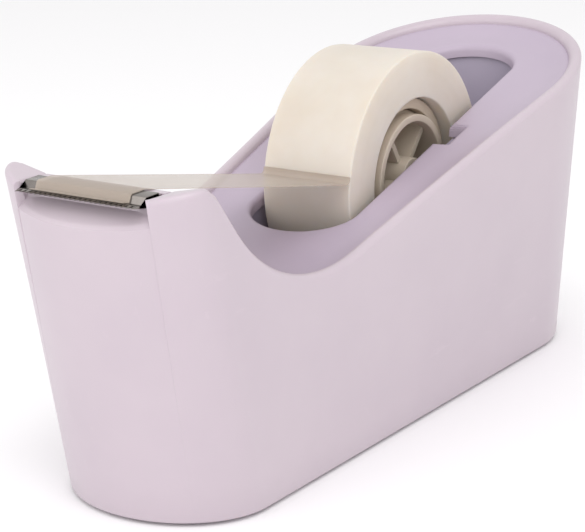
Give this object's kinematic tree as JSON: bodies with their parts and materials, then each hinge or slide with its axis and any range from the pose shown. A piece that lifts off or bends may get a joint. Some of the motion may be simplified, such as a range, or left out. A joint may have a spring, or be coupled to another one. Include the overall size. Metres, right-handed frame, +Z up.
{
  "type": "tape dispenser",
  "caption": "Weighted desk tape dispenser: tall tapered tub with a dipped rim, a tape roll turning on a hub in a slot, and a toothed steel blade at the nose.",
  "frame": {"origin": "on the desk under the middle of the body's length and width", "axes": "+Z up, -X towards the blade end, Y across the body and along the roll's axis"},
  "size_m": [0.1468, 0.0554, 0.0671],
  "materials": {
    "shell_plastic": "satin moulded plastic, pale lilac",
    "tray_plastic": "satin moulded plastic, lilac a shade deeper than the shell",
    "pocket_plastic": "moulded plastic with a fine texture, lilac in shade",
    "base_plastic": "moulded plastic, dark grey lilac",
    "pad_foam": "closed-cell foam rubber, charcoal",
    "ballast_iron": "rough cast weight",
    "blade_steel": "thin stamped steel, polished",
    "tape_film": "matte clear tape, slightly milky",
    "tape_winding": "wound matte clear tape, milky cream",
    "core_board": "pale board tube",
    "hub_plastic": "translucent smoky plastic",
    "axle_steel": "plain turned steel pin",
    "screw_steel": "zinc-plated steel"
  },
  "bodies": {
    "housing": {"outer_shell": "shell_plastic", "well_tray": "tray_plastic", "roll_pocket": "pocket_plastic", "base_plate": "base_plastic", "nonslip_pad": "pad_foam", "ballast_weight": "ballast_iron", "cutter_blade": "blade_steel", "tape_strip": "tape_film", "base_screw_1": "screw_steel", "base_screw_2": "screw_steel", "base_screw_3": "screw_steel", "base_screw_4": "screw_steel", "pocket_screw_1": "screw_steel", "pocket_screw_2": "screw_steel", "pocket_screw_3": "screw_steel", "pocket_screw_4": "screw_steel"},
    "reel": {"tape_roll": "tape_winding", "tape_core": "core_board", "hub_spool": "hub_plastic", "axle_pin": "axle_steel"}
  },
  "joints": [
    {"name": "roll_spin", "type": "hinge", "parent": "housing", "child": "reel", "pos_m": [0.016, 0, 0.04305], "axis": [0, 1, 0], "continuous": true}
  ]
}
